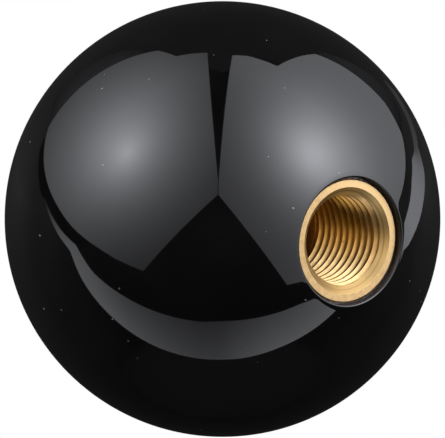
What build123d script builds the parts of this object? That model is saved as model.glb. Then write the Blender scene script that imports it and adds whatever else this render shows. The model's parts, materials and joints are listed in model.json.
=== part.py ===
from build123d import *
from math import cos, pi, radians, tan
import os

# Ball knob: a resin ball moulded around a knurled brass insert, which is threaded for a stud.
# Millimetres, +Z up. The origin is the centre of the insert's front face, and the thread's
# axis lies along Y. The mouth faces -Y, so +Y is depth into the ball.

# Ball
ball_diameter = 45.0
face_depth = 1.6            # insert's face under the ball's outermost point, which the mouth cuts away

# Round recess at the mouth, a little wider and deeper than the insert's face needs
recess_gap = 0.05           # around the knurl
recess_past_face = 0.2      # floor of the recess behind the face
rim_chamfer = 0.2           # broken edge between the recess and the ball

# Thread in the insert, M10 x 1, whose turns are too fine for the solid
thread_diameter = 10.0
thread_pitch = 1.0
thread_length = 11.0

# Blind bore that the thread is cut in
bore_past_thread = 3.6      # straight wall left plain behind the thread
drill_point_angle = 118.0
countersink_margin = 0.38   # countersink's mouth outside the thread's own radius

# Outside of the insert
knurl_diameter = 12.7       # over the teeth
knurl_pitch = 0.8
knurl_depth = 0.3
collar_step = 0.23          # plain collar's radius under the knurl's
collar_length = recess_past_face    # so that the recess's floor meets the knurl's front end
neck_past_thread = 1.6      # neck that the resin grips, in the thicker wall behind the thread
neck_width = 3.0
neck_depth = 1.0
end_wall = 2.7              # solid brass behind the drill point
pilot_length = 1.2          # plain turned end that the knurl stops at
pilot_step = 0.2            # pilot's radius under the knurl's root

ball_radius = ball_diameter / 2
ball_centre = ball_radius - face_depth

# The bore's wall is the thread's minor diameter, five eighths of the sharp form's height inside.
thread_radius = thread_diameter / 2
bore_radius = thread_radius - 5 / 8 * thread_pitch * cos(radians(30))
bore_depth = thread_length + bore_past_thread
bore_end = bore_depth + bore_radius / tan(radians(drill_point_angle / 2))
mouth_radius = thread_radius + countersink_margin
countersink_depth = mouth_radius - bore_radius

knurl_radius = knurl_diameter / 2
knurl_root_radius = knurl_radius - knurl_depth
knurl_teeth = round(pi * knurl_diameter / knurl_pitch)
collar_radius = knurl_radius - collar_step
neck_radius = knurl_radius - neck_depth
neck_start = thread_length + neck_past_thread
neck_end = neck_start + neck_width
insert_length = bore_end + end_wall
pilot_radius = knurl_root_radius - pilot_step
knurl_end = insert_length - pilot_length
recess_radius = knurl_radius + recess_gap


# Turned outside of the insert: collar, knurled length with its neck, and the closed end's pilot.
# In its section X is the radius and Y the depth.
with BuildPart() as insert_blank:
    with BuildSketch(Plane.XY):
        with BuildLine():
            Polyline(
                (0, 0),
                (collar_radius, 0),
                (collar_radius, collar_length),
                (knurl_radius, collar_length),
                (knurl_radius, neck_start),
                (neck_radius, neck_start),
                (neck_radius, neck_end),
                (knurl_radius, neck_end),
                (knurl_radius, knurl_end),
                (pilot_radius, knurl_end),
                (pilot_radius, insert_length),
                (0, insert_length),
                close=True,
            )
        make_face()
    revolve(axis=Axis.Y)

    # Straight knurl: V grooves of 90 degrees from the collar to the pilot.
    # Each starts at the root and runs out past the teeth.
    groove_reach = 1.5 * knurl_depth
    with BuildSketch(Plane.XZ.offset(-collar_length)):
        with PolarLocations(knurl_root_radius, knurl_teeth):
            Polygon(
                (0, 0),
                (groove_reach, groove_reach),
                (groove_reach, -groove_reach),
                align=None,
            )
    extrude(amount=collar_length - knurl_end, mode=Mode.SUBTRACT)


# The insert: its blank, bored blind and countersunk at the mouth
with BuildPart() as threaded_insert:
    add(insert_blank.part)
    with BuildSketch(Plane.XY):
        with BuildLine():
            Polyline(
                (0, 0),
                (mouth_radius, 0),
                (bore_radius, countersink_depth),
                (bore_radius, bore_depth),
                (0, bore_end),
                close=True,
            )
        make_face()
    revolve(axis=Axis.Y, mode=Mode.SUBTRACT)


# The ball: half of its section turned about the thread's axis, then moulded around the insert,
# so that the resin fills the knurl and the neck
with BuildPart() as ball:
    with BuildSketch(Plane.XY) as ball_section:
        with Locations((0, ball_centre)):
            Circle(ball_radius)
        with Locations((0, recess_past_face)):
            Rectangle(
                2 * recess_radius,
                ball_radius,
                align=(Align.CENTER, Align.MAX),
                mode=Mode.SUBTRACT,
            )
        rim = ball_section.vertices().group_by(Axis.Y)[0]
        chamfer(rim, length=rim_chamfer)
        split(bisect_by=Plane.YZ, keep=Keep.TOP)
    revolve(axis=Axis.Y)
    add(insert_blank.part, mode=Mode.SUBTRACT)


os.makedirs("parts", exist_ok=True)

ball.part.label = "ball"
export_step(ball.part, "parts/ball.step")

threaded_insert.part.label = "threaded_insert"
export_step(threaded_insert.part, "parts/threaded_insert.step")
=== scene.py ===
import json
from math import atan2, cos, pi, radians, sin, sqrt, tan

import bmesh
import bpy
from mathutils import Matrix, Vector


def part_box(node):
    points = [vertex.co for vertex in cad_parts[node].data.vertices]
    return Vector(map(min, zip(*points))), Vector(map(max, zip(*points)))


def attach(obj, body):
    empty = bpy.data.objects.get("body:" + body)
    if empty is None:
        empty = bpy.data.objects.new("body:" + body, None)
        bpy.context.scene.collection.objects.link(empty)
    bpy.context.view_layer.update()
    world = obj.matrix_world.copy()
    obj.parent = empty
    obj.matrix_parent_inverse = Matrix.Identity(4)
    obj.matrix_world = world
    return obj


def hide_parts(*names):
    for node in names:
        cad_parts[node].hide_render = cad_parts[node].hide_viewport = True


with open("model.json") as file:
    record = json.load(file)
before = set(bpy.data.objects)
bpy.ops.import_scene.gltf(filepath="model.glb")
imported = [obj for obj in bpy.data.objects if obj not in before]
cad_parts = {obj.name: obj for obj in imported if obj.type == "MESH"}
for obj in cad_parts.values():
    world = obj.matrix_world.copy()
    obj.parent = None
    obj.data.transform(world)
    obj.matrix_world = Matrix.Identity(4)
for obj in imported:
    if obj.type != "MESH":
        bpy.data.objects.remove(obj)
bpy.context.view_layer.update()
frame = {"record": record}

# Ball knob. Metres, +Z up. The origin is the centre of the insert's front face, and the knob's mouth
# faces -Y. In a section, X is the radius about the thread's axis and Y the depth into the ball.
mm = 0.001

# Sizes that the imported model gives
ball_low, ball_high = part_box("ball")
insert_low, insert_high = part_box("threaded_insert")
mounts = {mount["name"]: mount for mount in frame["record"]["mounts"]}
ball_radius = (ball_high.x - ball_low.x) / 2
ball_centre = Vector((0, ball_high.y - ball_radius, 0))
knurl_radius = (insert_high.z - insert_low.z) / 2
insert_length = insert_high.y
bore_radius = mounts["stud_thread"]["dims"]["r_mm"] * mm

# Mouth of the ball
recess_gap = 0.05 * mm
recess_depth = 0.2 * mm
rim_radius = 0.16 * mm

# Thread M10 x 1: its ridge is an eighth of the pitch wide each side of its middle, and its root a sixteenth
thread_pitch = 1.0 * mm
thread_height = 5 / 8 * thread_pitch * cos(radians(30))
thread_length = 11.0 * mm
thread_run_out = 0.6 * mm
thread_start = 0.29         # share of a turn by which the helix is turned
ridge_half = 1 / 8
root_half = 1 / 16
rows_per_turn = 16

# Bore behind the thread, and the countersink at its mouth
bore_past_thread = 3.6 * mm
drill_point_angle = radians(118)
countersink_margin = 0.38 * mm

# Outside of the insert
knurl_teeth = 50
knurl_depth = 0.3 * mm
collar_step = 0.23 * mm
collar_length = 0.2 * mm
neck_past_thread = 1.6 * mm
neck_width = 3.0 * mm
neck_depth = 1.0 * mm
pilot_length = 1.2 * mm
pilot_step = 0.2 * mm
face_edge = 0.04 * mm
steps_per_tooth = 6

recess_radius = knurl_radius + recess_gap
mouth_radius = bore_radius + thread_height + countersink_margin
bore_depth = thread_length + bore_past_thread
bore_end = bore_depth + bore_radius / tan(drill_point_angle / 2)
collar_radius = knurl_radius - collar_step
neck_start = thread_length + neck_past_thread
neck_end = neck_start + neck_width
neck_radius = knurl_radius - neck_depth
knurl_end = insert_length - pilot_length
pilot_radius = knurl_radius - knurl_depth - pilot_step

# Fineness of the turned meshes
sphere_steps = 150
rim_steps = 8
seam_gap = 0.001 * mm       # points of the turned grid that are nearer than this are one
tiny = 0.0005 * mm
crisp_angle = radians(28)   # sharpest turn that is still shaded round


# Node trees

def wire(tree, socket, value):
    """Links a socket to another node's output, or sets it."""
    if isinstance(value, bpy.types.NodeSocket):
        tree.links.new(value, socket)
    elif value is not None:
        socket.default_value = value


def node(tree, kind, inputs=None, **settings):
    """Adds a node, with its settings and its named or numbered inputs."""
    made = tree.nodes.new(kind)
    for name, value in settings.items():
        setattr(made, name, value)
    for name, value in (inputs or {}).items():
        wire(tree, made.inputs[name], value)
    return made


def calc(tree, operation, *values):
    """A sum, product or other plain calculation on numbers."""
    return node(tree, "ShaderNodeMath", dict(enumerate(values)), operation=operation).outputs[0]


def vector(tree, operation, *values):
    """A plain calculation on vectors. A dot product and a length put out a number."""
    made = node(tree, "ShaderNodeVectorMath", dict(enumerate(values)), operation=operation)
    return made.outputs["Value" if operation in ("DOT_PRODUCT", "LENGTH") else "Vector"]


def surface_place(tree):
    """Object coordinates of a surface point, which are the knob's own."""
    return node(tree, "ShaderNodeTexCoord").outputs["Object"]


def split(tree, place):
    """X, Y and Z of a place, by name."""
    return node(tree, "ShaderNodeSeparateXYZ", {0: place}).outputs


def ramp(tree, value, low, high, at_low=0.0, at_high=1.0, smooth=False):
    """Carries a value from the range low to high over to another range, and stops at its ends."""
    inputs = {"Value": value, "From Min": low, "From Max": high, "To Min": at_low, "To Max": at_high}
    style = "SMOOTHSTEP" if smooth else "LINEAR"
    return node(tree, "ShaderNodeMapRange", inputs, interpolation_type=style, clamp=True).outputs["Result"]


# Turned pieces: the section, given as a row of points, is turned about the thread's axis

def turned_piece_tree():
    """Geometry Nodes that turn a section, cut the knurl into it and lay its thread rows along a helix."""
    tree = bpy.data.node_groups.new("turned piece", "GeometryNodeTree")
    kinds = {
        "Section": "NodeSocketGeometry",
        "Teeth": "NodeSocketInt",
        "Steps Per Tooth": "NodeSocketInt",
        "Knurl Radius": "NodeSocketFloat",
        "Knurl Depth": "NodeSocketFloat",
        "Pitch": "NodeSocketFloat",
        "Thread Height": "NodeSocketFloat",
        "Thread Length": "NodeSocketFloat",
        "Run Out": "NodeSocketFloat",
        "Bore Radius": "NodeSocketFloat",
        "Mouth Radius": "NodeSocketFloat",
        "Finish": "NodeSocketMaterial",
    }
    for name, kind in kinds.items():
        tree.interface.new_socket(name, in_out="INPUT", socket_type=kind)
    tree.interface.new_socket("Piece", in_out="OUTPUT", socket_type="NodeSocketGeometry")
    given = node(tree, "NodeGroupInput").outputs

    # A grid with one column for each step of the turn and one row for each point of the section
    size = node(tree, "GeometryNodeAttributeDomainSize", {"Geometry": given["Section"]}, component="MESH")
    rows = size.outputs["Point Count"]
    steps = calc(tree, "MULTIPLY", given["Teeth"], given["Steps Per Tooth"])
    columns = calc(tree, "ADD", steps, 1)
    shape = {"Size X": 1.0, "Size Y": 1.0, "Vertices X": columns, "Vertices Y": rows}
    grid = node(tree, "GeometryNodeMeshGrid", shape)
    grid_place = split(tree, node(tree, "GeometryNodeInputPosition").outputs[0])
    turn = calc(tree, "ADD", grid_place["X"], 0.5)
    share = calc(tree, "ADD", grid_place["Y"], 0.5)
    row = calc(tree, "ROUND", calc(tree, "MULTIPLY", share, calc(tree, "SUBTRACT", rows, 1)))

    def from_section(value, kind):
        """Reads a value at the section's point that this row of the grid stands for."""
        inputs = {"Geometry": given["Section"], "Index": row}
        sample = node(tree, "GeometryNodeSampleIndex", inputs, data_type=kind, domain="POINT")
        wire(tree, next(s for s in sample.inputs if s.name == "Value" and s.enabled), value)
        return next(s for s in sample.outputs if s.enabled)

    def mark(name):
        """Reads one of the section's marks, such as where it is knurled."""
        inputs = {"Name": name}
        attribute = node(tree, "GeometryNodeInputNamedAttribute", inputs, data_type="FLOAT")
        return from_section(attribute.outputs["Attribute"], "FLOAT")

    point = from_section(node(tree, "GeometryNodeInputPosition").outputs[0], "FLOAT_VECTOR")
    section = split(tree, point)
    knurl_share = mark("knurled")
    thread_share = mark("threaded")

    # Knurl: V grooves of 90 degrees, so a flank rises by its distance from the groove's middle
    tooth = calc(tree, "FRACT", calc(tree, "MULTIPLY", turn, given["Teeth"]))
    from_middle = calc(tree, "ABSOLUTE", calc(tree, "SUBTRACT", tooth, 0.5))
    root_radius = calc(tree, "SUBTRACT", given["Knurl Radius"], given["Knurl Depth"])
    spacing = calc(tree, "DIVIDE", calc(tree, "MULTIPLY", root_radius, 2 * pi), given["Teeth"])
    flank = calc(tree, "MULTIPLY", from_middle, spacing)
    cut = calc(tree, "MAXIMUM", calc(tree, "SUBTRACT", given["Knurl Depth"], flank), 0.0)
    plain_radius = calc(tree, "SUBTRACT", section["X"], calc(tree, "MULTIPLY", cut, knurl_share))

    # Thread: each of its rows follows the helix, so that ridges and roots keep crisp edges
    lead = calc(tree, "MULTIPLY", calc(tree, "SUBTRACT", turn, 1.0 + thread_start), given["Pitch"])
    along = calc(tree, "ADD", section["Y"], calc(tree, "MULTIPLY", lead, thread_share))
    within = calc(tree, "MINIMUM", calc(tree, "MAXIMUM", along, 0.0), given["Thread Length"])
    phase = calc(tree, "FRACT", calc(tree, "DIVIDE", section["Y"], given["Pitch"]))
    from_ridge = calc(tree, "ABSOLUTE", calc(tree, "SUBTRACT", phase, 0.5))
    rise = ramp(tree, from_ridge, ridge_half, 0.5 - root_half)
    left_to_go = calc(tree, "SUBTRACT", given["Thread Length"], within)
    fade = ramp(tree, calc(tree, "DIVIDE", left_to_go, given["Run Out"]), 0.0, 1.0)
    groove = calc(tree, "MULTIPLY", calc(tree, "MULTIPLY", rise, fade), given["Thread Height"])
    thread_radius = calc(tree, "ADD", given["Bore Radius"], groove)
    cone_radius = calc(tree, "SUBTRACT", given["Mouth Radius"], within)
    cut_radius = calc(tree, "MAXIMUM", thread_radius, cone_radius)

    def by_thread(elsewhere, on_thread):
        """Takes the second value on the threaded stretch, and the first elsewhere."""
        inputs = {"Factor": thread_share, "A": elsewhere, "B": on_thread}
        return node(tree, "ShaderNodeMix", inputs, data_type="FLOAT").outputs[0]

    radius = by_thread(plain_radius, cut_radius)
    depth = by_thread(section["Y"], within)
    angle = calc(tree, "MULTIPLY", turn, 2 * pi)
    spot = {
        "X": calc(tree, "MULTIPLY", radius, calc(tree, "SINE", angle)),
        "Y": depth,
        "Z": calc(tree, "MULTIPLY", radius, calc(tree, "COSINE", angle)),
    }
    position = node(tree, "ShaderNodeCombineXYZ", spot).outputs[0]
    moved = {"Geometry": grid.outputs["Mesh"], "Position": position}
    piece = node(tree, "GeometryNodeSetPosition", moved).outputs[0]
    kept = {"Geometry": piece, "Name": "groove", "Value": calc(tree, "MULTIPLY", rise, thread_share)}
    store = "GeometryNodeStoreNamedAttribute"
    piece = node(tree, store, kept, data_type="FLOAT", domain="POINT").outputs[0]
    joined = {"Geometry": piece, "Distance": seam_gap}
    piece = node(tree, "GeometryNodeMergeByDistance", joined).outputs[0]
    piece = node(tree, "GeometryNodeRealizeInstances", {"Geometry": piece}).outputs[0]
    finished = {"Geometry": piece, "Material": given["Finish"]}
    piece = node(tree, "GeometryNodeSetMaterial", finished).outputs[0]
    node(tree, "NodeGroupOutput", {"Piece": piece})
    return tree


def turned_piece(name, section, finish, tree):
    """Makes the closed mesh of one turned piece. A point is (radius, depth, knurled, threaded)."""
    mesh = bpy.data.meshes.new(name)
    mesh.from_pydata([(point[0], point[1], 0) for point in section], [], [])
    for column, mark in ((2, "knurled"), (3, "threaded")):
        attribute = mesh.attributes.new(mark, "FLOAT", "POINT")
        attribute.data.foreach_set("value", [point[column] for point in section])
    piece = bpy.data.objects.new(name, mesh)
    bpy.context.scene.collection.objects.link(piece)

    modifier = piece.modifiers.new("turning", "NODES")
    modifier.node_group = tree
    values = {
        "Teeth": knurl_teeth,
        "Steps Per Tooth": steps_per_tooth,
        "Knurl Radius": knurl_radius,
        "Knurl Depth": knurl_depth,
        "Pitch": thread_pitch,
        "Thread Height": thread_height,
        "Thread Length": thread_length,
        "Run Out": thread_run_out,
        "Bore Radius": bore_radius,
        "Mouth Radius": mouth_radius,
        "Finish": finish,
    }
    for socket in tree.interface.items_tree:
        if socket.in_out == "INPUT" and socket.name in values:
            modifier[socket.identifier] = values[socket.name]

    evaluated = piece.evaluated_get(bpy.context.evaluated_depsgraph_get())
    turned = bpy.data.meshes.new_from_object(evaluated)
    piece.modifiers.clear()
    piece.data = turned
    turned.name = name
    close_and_face_out(turned)
    return piece


def close_and_face_out(mesh):
    """Drops faces that shrank to nothing, turns the rest outwards and keeps the turned edges crisp."""
    form = bmesh.new()
    form.from_mesh(mesh)
    bmesh.ops.remove_doubles(form, verts=form.verts, dist=tiny)
    bmesh.ops.dissolve_degenerate(form, edges=form.edges, dist=tiny)
    bmesh.ops.recalc_face_normals(form, faces=form.faces)
    form.to_mesh(mesh)
    form.free()
    mesh.shade_smooth()
    mesh.set_sharp_from_angle(angle=crisp_angle)


def plain(*points):
    """Section points without marks, from their radius and depth."""
    return [(radius, depth, 0, 0) for radius, depth in points]


def knurled(*depths):
    """Section points on the knurl's crests."""
    return [(knurl_radius, depth, 1, 0) for depth in depths]


def arc(centre, radius, start, end, steps):
    """Points of a round stretch. Angles are measured from the depth's direction towards the radius's."""
    turns = [start + (end - start) * i / steps for i in range(steps + 1)]
    return [(centre[0] + radius * sin(turn), centre[1] + radius * cos(turn)) for turn in turns]


def insert_section():
    """Outside from the closed end to the face, then the thread and the blind bore."""
    outside = plain((0, insert_length), (pilot_radius, insert_length), (pilot_radius, knurl_end))
    outside += knurled(knurl_end, neck_end)
    outside += plain((neck_radius, neck_end), (neck_radius, neck_start))
    outside += knurled(neck_start, collar_length)
    face = plain(
        (collar_radius, collar_length),
        (collar_radius, face_edge),
        (collar_radius - face_edge, 0),
        (mouth_radius, 0),
    )
    row_count = round((thread_length / thread_pitch + 2) * rows_per_turn)
    thread = [(bore_radius, row * thread_pitch / rows_per_turn, 0, 1) for row in range(row_count + 1)]
    bore = plain((bore_radius, thread_length), (bore_radius, bore_depth), (0, bore_end))
    return outside + face + thread + bore


def ball_section():
    """Sphere from its back to the rounded rim, the recess, and the pocket that the insert fills."""
    rim_x = recess_radius + rim_radius
    rim_y = ball_centre.y - sqrt((ball_radius - rim_radius) ** 2 - rim_x**2)
    rim_start = atan2(rim_x, rim_y - ball_centre.y)
    sphere = arc((0, ball_centre.y), ball_radius, 0, rim_start, sphere_steps)
    rim = arc((rim_x, rim_y), rim_radius, rim_start, 1.5 * pi, rim_steps)
    pocket = plain((recess_radius, recess_depth))
    pocket += knurled(recess_depth, neck_start)
    pocket += plain((neck_radius, neck_start), (neck_radius, neck_end))
    pocket += knurled(neck_end, knurl_end)
    pocket += plain((pilot_radius, knurl_end), (pilot_radius, insert_length), (0, insert_length))
    return plain(*sphere, *rim[1:]) + pocket


# Finishes

def new_finish(name):
    """An empty material, with its tree and its Principled shader."""
    finish = bpy.data.materials.new(name)
    finish.use_nodes = True
    return finish, finish.node_tree, finish.node_tree.nodes["Principled BSDF"]


# Gloss of the resin, and the specks on both pieces
resin_ior = 1.5
rim_gloss = 0.047           # most that the polished skin mirrors, so that the ball's edge stays dark
skin_roughness = 0.03
resin_smooth = 0.36         # roughness under the skin, where it is clean and where it was handled
resin_rough = 0.5
dusty_gloss = 0.6           # share of the gloss that a speck of dust leaves
recess_blend = 0.02 * mm    # width over which the recess's finish begins
speck_least = 0.4           # least share of its size that a speck has
speck_core = 0.4            # share of its width that a speck covers fully

# Colours of the resin
resin_black = (0.0022, 0.0022, 0.0023, 1)
resin_handled = (0.004, 0.004, 0.0042, 1)
# Painted light: a paler grey for the recess wall, which stands in for its sheen
recess_painted_light_grey = (0.08, 0.072, 0.075, 1)
dust_grey = (0.5, 0.5, 0.48, 1)

# Colours of the brass
brass_pale = (0.63, 0.455, 0.23, 1)
brass_cloudy = (0.48, 0.34, 0.165, 1)
ring_mark_brown = (0.48, 0.325, 0.15, 1)
# Painted light: lighter brass for the face's right and upper side
painted_light_brass = (0.77, 0.555, 0.275, 1)
cone_dull = (0.42, 0.305, 0.135, 1)
# Painted light: lighter brass for the countersink's right and upper side
painted_light_cone = (0.66, 0.5, 0.24, 1)
# Painted shade: orange brown for the bore, deeper in and towards its top
painted_shade_orange = (0.6, 0.3, 0.035, 1)
# Painted shade in the thread's roots
root_shade_brown = (0.42, 0.17, 0.02, 1)
# Painted shade at the bottom of the blind bore
deep_bore_shade = (0.34, 0.235, 0.1, 1)
# Darker brown for a band round the countersink, 0.4 mm deep
countersink_band_brown = (0.3, 0.19, 0.07, 1)
# Painted shade: dark brown for the knurl in the gap round the collar
knurl_shade_brown = (0.13, 0.075, 0.035, 1)
pit_brown = (0.34, 0.21, 0.08, 1)

# Places of these colours on the insert
countersink_band_depth = 0.4 * mm
countersink_band_core = 0.03 * mm
countersink_band_edge = 0.07 * mm
bore_shade_low = -3.5 * mm       # height at which the painted shade begins, and at which it is full
bore_shade_high = 1 * mm
bore_shade_start = 0.5 * mm      # depth at which the painted shade begins, and at which it is full
bore_shade_full = 4.5 * mm
painted_light_start = 0.5 * mm     # to the right and above, where the face is painted lighter, as painted light
painted_light_full = 7.5 * mm
knurl_blend = 0.005 * mm    # half the width over which the knurl's colour begins
mouth_blend = 0.05 * mm     # width over which the face's colours end at the mouth

# How strongly each of these colours covers the brass
ring_mark_cover = 0.35
root_shade_cover = 0.85
bore_shade_below = 0.15          # low in the bore, and high in it
bore_shade_above = 0.85
bore_shade_at_mouth = 0.15       # share of both that is left at the mouth
deep_bore_shade_cover = 0.8
countersink_band_cover = 0.75

# Roughness and relief of the brass
brass_smooth = 0.36         # between the ring marks, and in them
brass_rough = 0.44
thread_change = -0.08       # what is added in the thread, on the cone and on the knurl
cone_change = 0.02
knurl_change = 0.3
marks_per_metre = 9000.0
marks_along_wall = 1.7      # how much closer the tool marks lie along a wall than on a face
bump_height = 0.004 * mm
cloud_relief = 0.5          # share of it that the cloudy patches have


def shader_group(name, inputs):
    """An empty shader group that puts out one mask, with its given inputs."""
    group = bpy.data.node_groups.new(name, "ShaderNodeTree")
    for socket, kind in inputs.items():
        group.interface.new_socket(socket, in_out="INPUT", socket_type="NodeSocket" + kind)
    group.interface.new_socket("Mask", in_out="OUTPUT", socket_type="NodeSocketFloat")
    return group, node(group, "NodeGroupInput").outputs


def cloudy_patches():
    """Group: soft uneven patches, as handling and heat leave them."""
    inputs = {"Patches Per Metre": "Float", "Low": "Float", "High": "Float"}
    group, given = shader_group("cloudy patches", inputs)
    cloud = {
        "Vector": surface_place(group),
        "Scale": given["Patches Per Metre"],
        "Detail": 3.0,
        "Roughness": 0.55,
    }
    value = node(group, "ShaderNodeTexNoise", cloud).outputs[0]
    node(group, "NodeGroupOutput", {"Mask": ramp(group, value, given["Low"], given["High"], smooth=True)})
    return group


def stray_specks():
    """Group: small specks, of dust on the resin and pits in the brass. Share is how many cells hold one."""
    inputs = {"Cells Per Metre": "Float", "Size": "Float", "Share": "Float"}
    group, given = shader_group("stray specks", inputs)
    spread = {"Vector": surface_place(group), "Scale": given["Cells Per Metre"]}
    cells = node(group, "ShaderNodeTexVoronoi", spread)
    chance = node(group, "ShaderNodeSeparateColor", {0: cells.outputs["Color"]}).outputs
    width = calc(group, "MULTIPLY", given["Size"], calc(group, "ADD", chance[1], speck_least))
    near = ramp(group, calc(group, "DIVIDE", cells.outputs["Distance"], width), 1.0, speck_core)
    chosen = calc(group, "LESS_THAN", chance[0], given["Share"])
    node(group, "NodeGroupOutput", {"Mask": calc(group, "MULTIPLY", near, chosen)})
    return group


def place_group(tree, group, **values):
    """Puts a shader group in a material, and returns its mask."""
    used = node(tree, "ShaderNodeGroup", node_tree=group)
    for name, value in values.items():
        used.inputs[name.replace("_", " ")].default_value = value
    return used.outputs["Mask"]


def blend(tree, share, plain_colour, other_colour):
    """Mixes two colours by a mask."""
    mixed = node(tree, "ShaderNodeMix", data_type="RGBA")
    wire(tree, mixed.inputs["Factor"], share)
    wire(tree, mixed.inputs[6], plain_colour)
    wire(tree, mixed.inputs[7], other_colour)
    return mixed.outputs[2]


def distance_from_axis(tree):
    """Distance of a surface point from the thread's axis."""
    return vector(tree, "LENGTH", vector(tree, "MULTIPLY", surface_place(tree), Vector((1, 0, 1))))


def polished_resin(patches, specks):
    """Black phenolic resin, moulded and polished, with a little dust. The recess wall is painted a paler
    grey, which stands in for the light on it.
    """
    finish, tree, shader = new_finish("polished resin")
    shader.inputs["Specular IOR Level"].default_value = 0.0
    shader.inputs["Coat IOR"].default_value = resin_ior
    shader.inputs["Coat Roughness"].default_value = skin_roughness
    cloud = place_group(tree, patches, Patches_Per_Metre=160.0, Low=0.35, High=0.7)
    dust = place_group(tree, specks, Cells_Per_Metre=700.0, Size=0.07, Share=0.3)
    resin = blend(tree, cloud, resin_black, resin_handled)
    recess = ramp(tree, distance_from_axis(tree), recess_radius + recess_blend, recess_radius)
    depth = split(tree, surface_place(tree))["Y"]
    recess = calc(tree, "MULTIPLY", recess, ramp(tree, depth, insert_length, collar_length))
    # Painted light: the recess wall is given the paler grey
    resin = blend(tree, recess, resin, recess_painted_light_grey)
    wire(tree, shader.inputs["Base Color"], blend(tree, dust, resin, dust_grey))
    wire(tree, shader.inputs["Roughness"], ramp(tree, cloud, 0.0, 1.0, resin_smooth, resin_rough))
    mirror = node(tree, "ShaderNodeFresnel", {"IOR": resin_ior}).outputs[0]
    skin = calc(tree, "MINIMUM", calc(tree, "DIVIDE", rim_gloss, mirror), 1.0)
    clear = ramp(tree, dust, 0.0, 1.0, 1.0, dusty_gloss)
    wire(tree, shader.inputs["Coat Weight"], calc(tree, "MULTIPLY", skin, clear))
    return finish


def turned_brass(patches, specks):
    """Brass off the lathe: fine rings, painted shade in the thread and the bore behind it, and a knurl
    painted dark as shade.
    """
    finish, tree, shader = new_finish("turned brass")
    shader.inputs["Metallic"].default_value = 1.0

    # The tool's grooves run round the axis, so they spread the gloss across themselves
    shader.inputs["Anisotropic"].default_value = 0.4
    shader.inputs["Anisotropic Rotation"].default_value = 0.25
    around = node(tree, "ShaderNodeTangent", direction_type="RADIAL", axis="Y")
    wire(tree, shader.inputs["Tangent"], around.outputs[0])
    place = split(tree, surface_place(tree))
    radius = distance_from_axis(tree)

    # Tool marks run round the axis, so they change with the radius on a face and with the depth on a wall
    run = calc(tree, "ADD", radius, calc(tree, "MULTIPLY", place["Y"], marks_along_wall))
    marks = {"W": run, "Scale": marks_per_metre, "Detail": 2.0, "Roughness": 0.6}
    ring = node(tree, "ShaderNodeTexNoise", marks, noise_dimensions="1D").outputs[0]
    cloud = place_group(tree, patches, Patches_Per_Metre=1800.0, Low=0.3, High=0.7)
    pit = place_group(tree, specks, Cells_Per_Metre=1400.0, Size=0.16, Share=0.25)
    root = node(tree, "ShaderNodeAttribute", attribute_name="groove").outputs["Fac"]
    root = ramp(tree, root, 0.45, 1.0, 0.0, root_shade_cover, smooth=True)
    knurl = ramp(tree, radius, collar_radius - knurl_blend, collar_radius + knurl_blend)

    # Face: cloudy, with ring marks, and painted lighter to the right and above, as painted light
    inside = ramp(tree, radius, mouth_radius, mouth_radius - mouth_blend)
    outside = calc(tree, "SUBTRACT", 1.0, inside)
    # Painted light: mask that makes the right and upper side lighter
    painted_light_side = ramp(tree, calc(tree, "ADD", place["X"], place["Z"]), painted_light_start, painted_light_full)
    brass = blend(tree, cloud, brass_pale, brass_cloudy)
    brass = blend(tree, ramp(tree, ring, 0.35, 0.7, 0.0, ring_mark_cover), brass, ring_mark_brown)
    brass = blend(tree, calc(tree, "MULTIPLY", painted_light_side, outside), brass, painted_light_brass)

    # Countersink: duller, and painted lighter on the same side, as painted light
    cone_end = mouth_radius - bore_radius
    cone = ramp(tree, place["Y"], cone_end, 0.8 * cone_end)
    cone_brass = blend(tree, painted_light_side, cone_dull, painted_light_cone)
    brass = blend(tree, calc(tree, "MULTIPLY", inside, cone), brass, cone_brass)

    # Thread: painted shade, more orange deeper in, more so above and darker in the roots, and the bore
    # behind it darker still
    bore_shade = ramp(tree, place["Z"], bore_shade_low, bore_shade_high, bore_shade_below, bore_shade_above)
    inward = ramp(tree, place["Y"], bore_shade_start, bore_shade_full, bore_shade_at_mouth, 1.0)
    bore_shade = calc(tree, "MULTIPLY", bore_shade, inward)
    # Painted shade: the bore's colour, deeper in and above
    brass = blend(tree, calc(tree, "MULTIPLY", inside, bore_shade), brass, painted_shade_orange)
    brass = blend(tree, root, brass, root_shade_brown)
    last_turn = thread_length - thread_pitch
    deep = ramp(tree, place["Y"], last_turn, thread_length + thread_pitch, 0.0, deep_bore_shade_cover)
    brass = blend(tree, calc(tree, "MULTIPLY", inside, deep), brass, deep_bore_shade)

    # A dark band round the countersink, the knurl painted dark as shade, and pits all over
    from_countersink_band = calc(tree, "ABSOLUTE", calc(tree, "SUBTRACT", place["Y"], countersink_band_depth))
    countersink_band = ramp(tree, from_countersink_band, countersink_band_edge, countersink_band_core, 0.0, countersink_band_cover)
    # Darker band round the countersink
    brass = blend(tree, calc(tree, "MULTIPLY", inside, countersink_band), brass, countersink_band_brown)
    # Painted shade on the knurl
    brass = blend(tree, knurl, brass, knurl_shade_brown)
    wire(tree, shader.inputs["Base Color"], blend(tree, pit, brass, pit_brown))

    dull = ramp(tree, ring, 0.3, 0.7, brass_smooth, brass_rough)
    change = ramp(tree, cone, 0.0, 1.0, thread_change, cone_change)
    dull = calc(tree, "ADD", dull, calc(tree, "MULTIPLY", inside, change))
    dull = calc(tree, "ADD", dull, calc(tree, "MULTIPLY", knurl, knurl_change))
    wire(tree, shader.inputs["Roughness"], dull)
    height = calc(tree, "ADD", ring, calc(tree, "MULTIPLY", cloud, cloud_relief))
    bump = node(tree, "ShaderNodeBump", {"Strength": 0.35, "Distance": bump_height, "Height": height})
    wire(tree, shader.inputs["Normal"], bump.outputs[0])
    return finish


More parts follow.
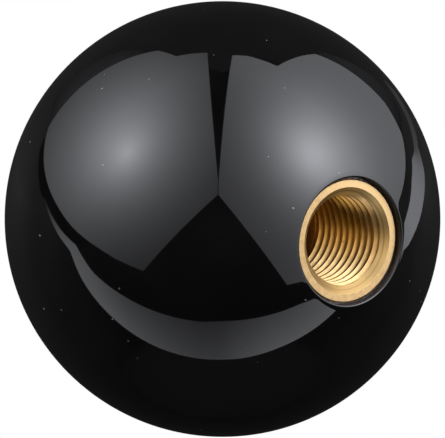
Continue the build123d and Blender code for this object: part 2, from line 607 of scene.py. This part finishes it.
# Camera, at the photograph's viewing angle. The photograph is 445 x 438 pixels, and the ball is
# 218 pixels in radius there.
photo_width = 445
photo_ball_radius = 217.95
camera_azimuth = radians(-36.44)
camera_elevation = radians(7.42)
camera_distance = 450 * mm
camera_near = 10 * mm


def bearing(azimuth, elevation):
    """Direction from the knob. Azimuth 0 is the mouth's side, and +90 degrees is +X."""
    return Vector((
        sin(azimuth) * cos(elevation),
        -cos(azimuth) * cos(elevation),
        sin(elevation),
    ))


def make_camera():
    """Camera aimed at the ball's centre, with the lens that gives the ball its width in the photograph."""
    camera = bpy.data.objects.new("camera", bpy.data.cameras.new("camera"))
    bpy.context.scene.collection.objects.link(camera)
    back = bearing(camera_azimuth, camera_elevation)
    camera.location = ball_centre + back * camera_distance
    camera.rotation_euler = (-back).to_track_quat("-Z", "Y").to_euler()
    silhouette = ball_radius / sqrt(camera_distance**2 - ball_radius**2)
    camera.data.lens = camera.data.sensor_width * photo_ball_radius / photo_width / silhouette
    camera.data.clip_start = camera_near
    bpy.context.scene.camera = camera


# Stage. Round boards make the paper white where it stands behind the knob, seen from five sides:
# (azimuth, elevation) of each from the ball's centre, in degrees.
pale_boards = [(143.56, -7.42), (45, -15), (-90, -3), (180, -3), (-135, -25)]
# Flags of the dim room's own light keep three of the boards out of the ball's gloss
flags = [(180, -3), (-135, -25), (45, -15)]
flag_radius = radians(16)
board_radius = radians(7.5)
board_fade = radians(13)
floor_depth = 1150 * mm
wall_radius = 1200 * mm
wall_top = 60 * mm
glow_start = 0.55 * wall_radius     # from where the paper begins to shine for itself
glow_full = 0.75 * wall_radius
cove_radius = 300 * mm
sweep_steps = 96
cove_steps = 12
paper_white = (0.8, 0.8, 0.8, 1)

# Panels stand round the ball at four distances, the brass's own in front
before_panels = 1050 * mm
panel_distance = 1100 * mm
frame_distance = 1120 * mm
behind_panels = 1150 * mm
sheet_cuts = 12
band_steps = 64
band_rows = 6
round_rings = 6
round_steps = 32
light_colour = Vector((0.97, 0.985, 1.045))
brass_light_limit = 3.2     # most that the brass sees of the sheets, so that it doesn't clip
full_light = 100.0          # more than the sheets give, so it limits nothing

# Soft lamps that light the paper and the brass round the knob
lamp_distance = 300 * mm
lamp_size = 150 * mm
lamp_power = 0.44

# Dim light of the room: strongest at the horizon behind the knob, and weak at its sides
horizon_level = 0.2
horizon_fall = radians(14)
above_level = 0.06
above_full = radians(20)
behind_full = cos(radians(40))
behind_none = cos(radians(66))
side_level = 0.14
side_full = cos(radians(62))
front_level = 0.03
front_full = cos(radians(115))
side_fall = radians(32)
least_level = 0.03


def add_stage(name, points, faces, finish):
    """Adds a smooth mesh that belongs to the stage, not to the knob."""
    mesh = bpy.data.meshes.new(name)
    mesh.from_pydata(points, [], faces)
    mesh.materials.append(finish)
    mesh.shade_smooth()
    piece = bpy.data.objects.new(name, mesh)
    bpy.context.scene.collection.objects.link(piece)
    return piece


def studio_sweep(finish):
    """Floor that rises in a cove to a low round wall, which stands behind the knob from every side."""
    cove_centre = (wall_radius - cove_radius, -floor_depth + cove_radius)
    profile = [(0, -floor_depth), (0.5 * cove_centre[0], -floor_depth)]
    profile += [
        (cove_centre[0] + cove_radius * sin(turn), cove_centre[1] - cove_radius * cos(turn))
        for turn in [0.5 * pi * i / cove_steps for i in range(cove_steps + 1)]
    ]
    profile.append((wall_radius, wall_top))
    points = []
    for radius, height in profile:
        for step in range(sweep_steps):
            turn = 2 * pi * step / sweep_steps
            points.append((radius * cos(turn), ball_centre.y + radius * sin(turn), height))
    faces = []
    for ring in range(len(profile) - 1):
        for step in range(sweep_steps):
            a = ring * sweep_steps + step
            b = ring * sweep_steps + (step + 1) % sweep_steps
            faces.append((a, b, b + sweep_steps, a + sweep_steps))
    return add_stage("studio_sweep", points, faces, finish)


def light_sheet(name, corners, middle, finish, distance):
    """A sheet of light at one distance from the ball. Its corners are (azimuth, elevation) in degrees."""
    ring = [bearing(radians(azimuth), radians(elevation)) for azimuth, elevation in corners]
    hot = bearing(radians(middle[0]), radians(middle[1]))
    form = bmesh.new()
    hub = form.verts.new(hot)
    rim = [form.verts.new(corner) for corner in ring]
    for a, b in zip(rim, rim[1:] + rim[:1]):
        form.faces.new((hub, a, b))
    bmesh.ops.subdivide_edges(form, edges=form.edges, cuts=sheet_cuts, use_grid_fill=True)
    for vertex in form.verts:
        vertex.co = ball_centre + vertex.co.normalized() * distance
    mesh = bpy.data.meshes.new(name)
    form.to_mesh(mesh)
    form.free()
    mesh.materials.append(finish)
    sheet = bpy.data.objects.new(name, mesh)
    bpy.context.scene.collection.objects.link(sheet)
    only_in_gloss(sheet)
    return sheet


def shine_only_on(panel, piece):
    """Links a panel's light to one piece."""
    lit = bpy.data.collections.new(f"lit by {panel.name}")
    lit.objects.link(piece)
    panel.light_linking.receiver_collection = lit


def sheet_glow():
    """Group: light of a diffusion sheet, brightest where the lamp stands behind it."""
    inputs = {
        "Lamp Direction": "Vector",
        "Peak": "Float",
        "Spread": "Float",
        "Core": "Float",
        "Tilt": "Vector",
        "Across": "Vector",
        "Widening": "Float",
        "Most": "Float",
    }
    group, given = shader_group("sheet glow", inputs)
    way = way_from_ball(group)
    facing = vector(group, "DOT_PRODUCT", way, given["Lamp Direction"])
    angle = calc(group, "ARCCOSINE", calc(group, "MINIMUM", facing, 1.0))
    core = given["Core"]
    squares = calc(group, "ADD", calc(group, "POWER", angle, 2.0), calc(group, "POWER", core, 2.0))
    fall = calc(group, "SUBTRACT", core, calc(group, "SQRT", squares))
    fall = calc(group, "DIVIDE", fall, given["Spread"])
    aside = vector(group, "SUBTRACT", way, given["Lamp Direction"])
    lean = vector(group, "DOT_PRODUCT", aside, given["Tilt"])
    sideways = vector(group, "DOT_PRODUCT", aside, given["Across"])
    widen = calc(group, "MULTIPLY", calc(group, "MULTIPLY", sideways, sideways), given["Widening"])
    power = calc(group, "ADD", calc(group, "ADD", fall, lean), widen)
    light = calc(group, "MULTIPLY", calc(group, "EXPONENT", power), given["Peak"])
    node(group, "NodeGroupOutput", {"Mask": calc(group, "MINIMUM", light, given["Most"])})
    return group


def way_from_ball(tree):
    """Direction of a stage point from the ball's centre."""
    return vector(tree, "NORMALIZE", vector(tree, "SUBTRACT", surface_place(tree), ball_centre))


def glowing_finish(name):
    """An empty material that only shines, with its tree and its Emission shader."""
    finish = bpy.data.materials.new(name)
    finish.use_nodes = True
    tree = finish.node_tree
    tree.nodes.clear()
    light = node(tree, "ShaderNodeEmission")
    node(tree, "ShaderNodeOutputMaterial", {"Surface": light.outputs[0]}, name="Material Output")
    return finish, tree, light


def cool(tree, level):
    """Colour of the studio's light, which is slightly blue, at one level."""
    return vector(tree, "MULTIPLY", level, light_colour)


def sheet_finish(name, group, lamp, shape, most, clear=False):
    """Light of one sheet, from its lamp's place and the shape of its light."""
    finish, tree, light = glowing_finish(name)
    peak, spread, core, tilt, widening = shape
    glow = place_group(
        tree,
        group,
        Lamp_Direction=bearing(radians(lamp[0]), radians(lamp[1])),
        Peak=peak,
        Spread=radians(spread),
        Core=radians(core),
        Tilt=tilt,
        Across=bearing(radians(lamp[0] + 90), 0),
        Widening=widening,
        Most=most,
    )
    wire(tree, light.inputs["Color"], cool(tree, glow))
    if clear:
        let_light_through(tree, light)
    return finish


def let_light_through(tree, light):
    """Makes a shining material clear as well, so that what stands behind it still counts."""
    through = node(tree, "ShaderNodeBsdfTransparent")
    both = node(tree, "ShaderNodeAddShader", {0: light.outputs[0], 1: through.outputs[0]})
    wire(tree, tree.nodes["Material Output"].inputs["Surface"], both.outputs[0])


def horizon_glow():
    """Group: dim light of the room, from the direction in which it is seen."""
    group, given = shader_group("horizon glow", {"Way": "Vector"})
    height = split(group, given["Way"])["Z"]
    rise = calc(group, "ARCSINE", calc(group, "MAXIMUM", calc(group, "MINIMUM", height, 1.0), -1.0))
    off_horizon = calc(group, "ABSOLUTE", rise)
    near = calc(group, "EXPONENT", calc(group, "DIVIDE", off_horizon, -horizon_fall))
    wide = calc(group, "EXPONENT", calc(group, "DIVIDE", off_horizon, -side_fall))
    above = ramp(group, rise, 0.0, above_full, 0.0, above_level)
    level = calc(group, "ADD", calc(group, "MULTIPLY", near, horizon_level), above)
    flat = vector(group, "NORMALIZE", vector(group, "MULTIPLY", given["Way"], Vector((1, 1, 0))))
    behind = vector(group, "DOT_PRODUCT", flat, -bearing(camera_azimuth, 0))
    share = ramp(group, behind, behind_none, behind_full, smooth=True)
    aside = ramp(group, behind, front_full, side_full, front_level, side_level, smooth=True)
    dim = calc(group, "ADD", calc(group, "MULTIPLY", aside, wide), least_level)
    node(group, "NodeGroupOutput", {"Mask": calc(group, "ADD", calc(group, "MULTIPLY", level, share), dim)})
    return group


def sweep_finish(horizon):
    """Pale paper. Away from the knob it shines for itself, and below it the lamps light it."""
    finish = bpy.data.materials.new("sweep paper")
    finish.use_nodes = True
    tree = finish.node_tree
    paper = tree.nodes["Principled BSDF"]
    paper.inputs["Base Color"].default_value = paper_white
    paper.inputs["Roughness"].default_value = 0.9
    paper.inputs["Specular IOR Level"].default_value = 0.0
    path = node(tree, "ShaderNodeLightPath").outputs
    seen = calc(tree, "MAXIMUM", path["Is Camera Ray"], path["Is Glossy Ray"])
    seen = calc(tree, "MAXIMUM", seen, path["Is Transmission Ray"])
    away = vector(tree, "LENGTH", vector(tree, "MULTIPLY", surface_place(tree), Vector((1, 1, 0))))
    outer = ramp(tree, away, glow_start, glow_full, smooth=True)

    way = way_from_ball(tree)
    room = node(tree, "ShaderNodeGroup", node_tree=horizon)
    wire(tree, room.inputs["Way"], way)
    level = room.outputs["Mask"]
    for azimuth, elevation in pale_boards:
        facing = vector(tree, "DOT_PRODUCT", way, bearing(radians(azimuth), radians(elevation)))
        board = ramp(tree, facing, cos(board_fade), cos(board_radius), smooth=True)
        level = calc(tree, "MAXIMUM", level, board)
    glow = node(tree, "ShaderNodeEmission", {"Color": level})
    share = calc(tree, "MULTIPLY", seen, outer)
    both = node(tree, "ShaderNodeMixShader", {0: share, 1: paper.outputs[0], 2: glow.outputs[0]})
    wire(tree, tree.nodes["Material Output"].inputs["Surface"], both.outputs[0])
    return finish


def add_lamp(name, azimuth, elevation):
    """Soft lamp aimed at the ball. It lights plain surfaces, and the sheets are what the gloss shows."""
    lamp = bpy.data.objects.new(name, bpy.data.lights.new(name, "AREA"))
    bpy.context.scene.collection.objects.link(lamp)
    way = bearing(radians(azimuth), radians(elevation))
    lamp.location = ball_centre + way * lamp_distance
    lamp.rotation_euler = (-way).to_track_quat("-Z", "Y").to_euler()
    lamp.data.shape = "DISK"
    lamp.data.size = lamp_size
    lamp.data.energy = lamp_power
    lamp.visible_camera = False
    lamp.visible_glossy = False


def edge_points(edge):
    """Even steps along an edge of (azimuth, elevation, level) points, as directions with their levels."""
    ways = [bearing(radians(azimuth), radians(elevation)) for azimuth, elevation, level in edge]
    levels = [level for azimuth, elevation, level in edge]
    reach = [0]
    for start, end in zip(ways, ways[1:]):
        reach.append(reach[-1] + start.angle(end))
    points = []
    stretch = 0
    for step in range(band_steps + 1):
        target = reach[-1] * step / band_steps
        while stretch < len(ways) - 2 and target > reach[stretch + 1]:
            stretch += 1
        share = (target - reach[stretch]) / (reach[stretch + 1] - reach[stretch])
        level = levels[stretch] + (levels[stretch + 1] - levels[stretch]) * share
        points.append((ways[stretch].lerp(ways[stretch + 1], share), level))
    return points


def band_of_light(name, one_edge, other_edge, finish, distance):
    """A curved band between two edges, which shines at the level that its points give."""
    points = []
    levels = []
    for one_point, other_point in zip(edge_points(one_edge), edge_points(other_edge)):
        for row in range(band_rows + 1):
            share = row / band_rows
            way = one_point[0].lerp(other_point[0], share).normalized()
            points.append(ball_centre + way * distance)
            levels.append(one_point[1] + (other_point[1] - one_point[1]) * share)
    faces = []
    for step in range(band_steps):
        for row in range(band_rows):
            a = step * (band_rows + 1) + row
            b = a + band_rows + 1
            faces.append((a, a + 1, b + 1, b))
    band = add_stage(name, points, faces, finish)
    attribute = band.data.attributes.new("glow", "FLOAT", "POINT")
    attribute.data.foreach_set("value", levels)
    only_in_gloss(band)
    return band


def only_in_gloss(piece):
    """Lets a panel show in reflections, and nowhere else."""
    piece.visible_camera = False
    piece.visible_diffuse = False
    piece.visible_shadow = False


def round_panel(name, azimuth, elevation, radius, distance, finish):
    """Round panel that faces the ball."""
    middle = bearing(radians(azimuth), radians(elevation))
    across = middle.cross(Vector((0, 0, 1))).normalized()
    upward = across.cross(middle)
    points = [ball_centre + middle * distance]
    for ring in range(1, round_rings + 1):
        reach = radius * ring / round_rings
        for step in range(round_steps):
            turn = 2 * pi * step / round_steps
            side = across * cos(turn) + upward * sin(turn)
            points.append(ball_centre + (middle * cos(reach) + side * sin(reach)) * distance)
    faces = [(0, 1 + step, 1 + (step + 1) % round_steps) for step in range(round_steps)]
    for ring in range(round_rings - 1):
        for step in range(round_steps):
            a = 1 + ring * round_steps + step
            b = 1 + ring * round_steps + (step + 1) % round_steps
            faces.append((a, a + round_steps, b + round_steps, b))
    panel = add_stage(name, points, faces, finish)
    only_in_gloss(panel)
    return panel


def card_finish(name, colour):
    """A clear card that shines in one colour."""
    finish, tree, light = glowing_finish(name)
    light.inputs["Color"].default_value = (*colour, 1)
    let_light_through(tree, light)
    return finish


def room_finish(horizon):
    """The dim room's own light, for flags that stand before something brighter."""
    finish, tree, light = glowing_finish("room light")
    room = node(tree, "ShaderNodeGroup", node_tree=horizon)
    wire(tree, room.inputs["Way"], way_from_ball(tree))
    wire(tree, light.inputs["Color"], room.outputs["Mask"])
    return finish


def band_finish():
    """Light at the levels that a band's points give."""
    finish, tree, light = glowing_finish("band light")
    level = node(tree, "ShaderNodeAttribute", attribute_name="glow").outputs["Fac"]
    wire(tree, light.inputs["Color"], cool(tree, level))
    return finish


def dark_room(horizon):
    """The world: a dark room with a dim horizon."""
    world = bpy.data.worlds.new("dark room")
    world.use_nodes = True
    tree = world.node_tree
    room = node(tree, "ShaderNodeGroup", node_tree=horizon)
    wire(tree, room.inputs["Way"], node(tree, "ShaderNodeTexCoord").outputs["Generated"])
    wire(tree, tree.nodes["Background"].inputs["Color"], room.outputs["Mask"])
    bpy.context.scene.world = world


# The two sheets lean together over the camera, and leave a gap that widens towards the back.
# Corners are (azimuth, elevation) from the ball's centre, in degrees.
left_sheet_corners = [
    (-163, 15.8), (-154.5, 12.5), (-146.4, 9.4), (-133.2, 3.9), (-120, -2.6), (-103.6, -9.6),
    (-79, -19.4), (-39, 19.7), (-39, 27), (163.5, 74.7), (-171.8, 67.4), (-177.9, 56.8),
    (-172.5, 41.5), (-170, 29), (-168.6, 22), (-167.4, 17.8),
]
right_sheet_corners = [
    (127.5, 77.4), (109, 74.5), (81.5, 67.6), (105.3, 45.1), (100.7, 21.5), (95.4, 15), (83.4, 10.1),
    (71, 4.2), (-0.7, -26.4), (-38.6, 19.7), (-38.6, 27),
]

# Each sheet has a lamp behind it. Its shape is the light's peak, its spread and its even core in
# degrees, how it leans and how much it widens sideways.
left_lamp = (-97.2, 33.7)
left_lamp_shape = (7.46, 17.2, 3.3, (1.43, 0.33, -0.44), 0.4)
right_lamp = (19.4, 33.6)
right_lamp_shape = (8.95, 10.1, 12.0, (-0.95, 4.80, -3.04), 0.1)

# White card that lies in front of the knob and below it, and curves up to both sides.
# From here on a corner also has its level of light.
card_low_edge = [
    (-144.6, 4, 0.1), (-130.8, -6.3, 1.4), (-125.3, -9.8, 1.7), (-122.8, -12, 1.7),
    (-119.5, -22.1, 1.7), (-110.4, -39.5, 1.6), (-92.9, -58.5, 1.1), (-62.2, -68.9, 0.8),
    (-36.9, -70.4, 0.82), (-16.2, -69.1, 1.15), (15, -58.6, 1.7), (36.7, -36.6, 1.8),
]
card_high_edge = [
    (-144.4, 4.3, 0.1), (-128.8, -4.3, 1.2), (-118.5, -9.1, 1.5), (-110.1, -19.9, 1.4),
    (-94.6, -31.4, 0.85), (-75.9, -40.9, 0.6), (-51.9, -46.7, 0.4), (-36.7, -46.6, 0.4),
    (-11.3, -43.7, 0.8), (10.3, -35.8, 1.15), (21.7, -31, 1.5),
]

# Strip light behind the knob's right side, thin above and wider below
strip_outer_edge = [
    (123.2, 10.3, 0.5), (124.6, 6.5, 0.8), (118.5, 5.7, 0.7), (108, 6.3, 1.1), (105, 2.7, 2.6),
    (94.8, -1.5, 3.2), (83.3, -7.4, 3.4), (78, -10.5, 3.0), (73, -12.2, 2.6), (69, -15.5, 0.9),
]
strip_inner_edge = [
    (120.8, 12.1, 0.5), (119.2, 11.4, 0.8), (113, 9.6, 0.7), (101, 8.5, 1.1), (93.7, 9, 2.6),
    (86.2, 5.9, 3.2), (75.4, -1.7, 3.3), (71.1, -5.3, 3.0), (69.5, -8.8, 2.6), (66.5, -12, 0.9),
]

# Light that the sheets throw on the walls beside them
left_spill_outer = [
    (179.6, 16.8, 0.15), (174.6, 17.8, 0.2), (175.3, 24.4, 0.22), (175.6, 31.1, 0.22),
    (176.9, 39.1, 0.22), (-178.7, 50.6, 0.15),
]
left_spill_inner = [
    (-161.5, 19.7, 0.25), (-163.5, 27.0, 0.36), (-163.7, 34.1, 0.39), (-165.7, 42.3, 0.37),
    (-167.6, 54.3, 0.3),
]
right_spill_outer = [
    (108.6, 42.6, 0.2), (110.3, 31.9, 0.33), (113.1, 22.0, 0.32), (113.7, 16.3, 0.27),
    (110.8, 13.2, 0.15),
]
right_spill_inner = [
    (95.7, 44.5, 0.25), (91.6, 32.2, 0.33), (87.6, 21.7, 0.3), (85.6, 15.4, 0.12),
]

# Dark frame of the left sheet, which shows beside it and between it and the card
frame_outer = [
    (-165.5, 15.3, 0.06), (-163.5, 12.6, 0.04), (-158.8, 10.3, 0.03), (-153.5, 7.5, 0.03),
    (-147.9, 4.4, 0.03), (-144.5, 3.9, 0.03), (-129.8, -5.3, 0.03), (-120, -11, 0.045),
]
frame_inner = [
    (-165.3, 15.6, 0.06), (-160, 15.8, 0.04), (-153, 13.5, 0.03), (-144, 10.3, 0.03),
    (-133, 6, 0.03), (-119, -1, 0.03), (-103, -7.5, 0.045),
]

# Cards that shine on the brass alone: (name, azimuth, elevation, radius in degrees, colour)
brass_cards = [
    ("ring_card", 2, -2, 14, (0.6, 0.6, 0.58)),
    ("gold_card", -34, 6, 22, (0.6, 0.44, 0.2)),
    ("low_card", 64, -49, 16, (0.4, 0.34, 0.22)),
    ("side_card", 70, 32, 18, (0.8, 0.78, 0.74)),
]


# The knob

patches = cloudy_patches()
specks = stray_specks()
finish_resin = polished_resin(patches, specks)
finish_brass = turned_brass(patches, specks)
turning = turned_piece_tree()
ball = turned_piece("polished_ball", ball_section(), finish_resin, turning)
insert = turned_piece("threaded_brass_insert", insert_section(), finish_brass, turning)
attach(ball, "root")
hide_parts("ball")
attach(insert, "root")
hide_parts("threaded_insert")

# The stage round it
make_camera()
horizon = horizon_glow()
studio_sweep(sweep_finish(horizon))
dark_room(horizon)

# The ball mirrors the sheets at their full light, and the brass sees softened ones in front of them
glow = sheet_glow()
for side, corners, lamp, shape in (
    ("left", left_sheet_corners, left_lamp, left_lamp_shape),
    ("right", right_sheet_corners, right_lamp, right_lamp_shape),
):
    full = sheet_finish(f"{side} sheet light", glow, lamp, shape, full_light)
    soft = sheet_finish(f"{side} sheet light, softened", glow, lamp, shape, brass_light_limit, clear=True)
    shine_only_on(light_sheet(f"{side}_sheet", corners, lamp, full, panel_distance), ball)
    shine_only_on(light_sheet(f"{side}_sheet_for_brass", corners, lamp, soft, before_panels), insert)
add_lamp("left_lamp", *left_lamp)
add_lamp("right_lamp", *right_lamp)

# Both mirror the card, and the ball alone mirrors the other bands
shine = band_finish()
band_of_light("front_card", card_low_edge, card_high_edge, shine, panel_distance)
for name, outer_edge, inner_edge, distance in (
    ("side_strip", strip_outer_edge, strip_inner_edge, panel_distance),
    ("left_spill", left_spill_outer, left_spill_inner, behind_panels),
    ("right_spill", right_spill_outer, right_spill_inner, behind_panels),
    ("left_frame", frame_outer, frame_inner, frame_distance),
):
    shine_only_on(band_of_light(name, outer_edge, inner_edge, shine, distance), ball)
dim_room = room_finish(horizon)
for number, place in enumerate(flags):
    round_panel(f"flag_{number + 1}", *place, flag_radius, behind_panels, dim_room)
for name, azimuth, elevation, radius, colour in brass_cards:
    card = round_panel(name, azimuth, elevation, radians(radius), before_panels, card_finish(name, colour))
    shine_only_on(card, insert)

bpy.context.scene.view_settings.view_transform = "Standard"
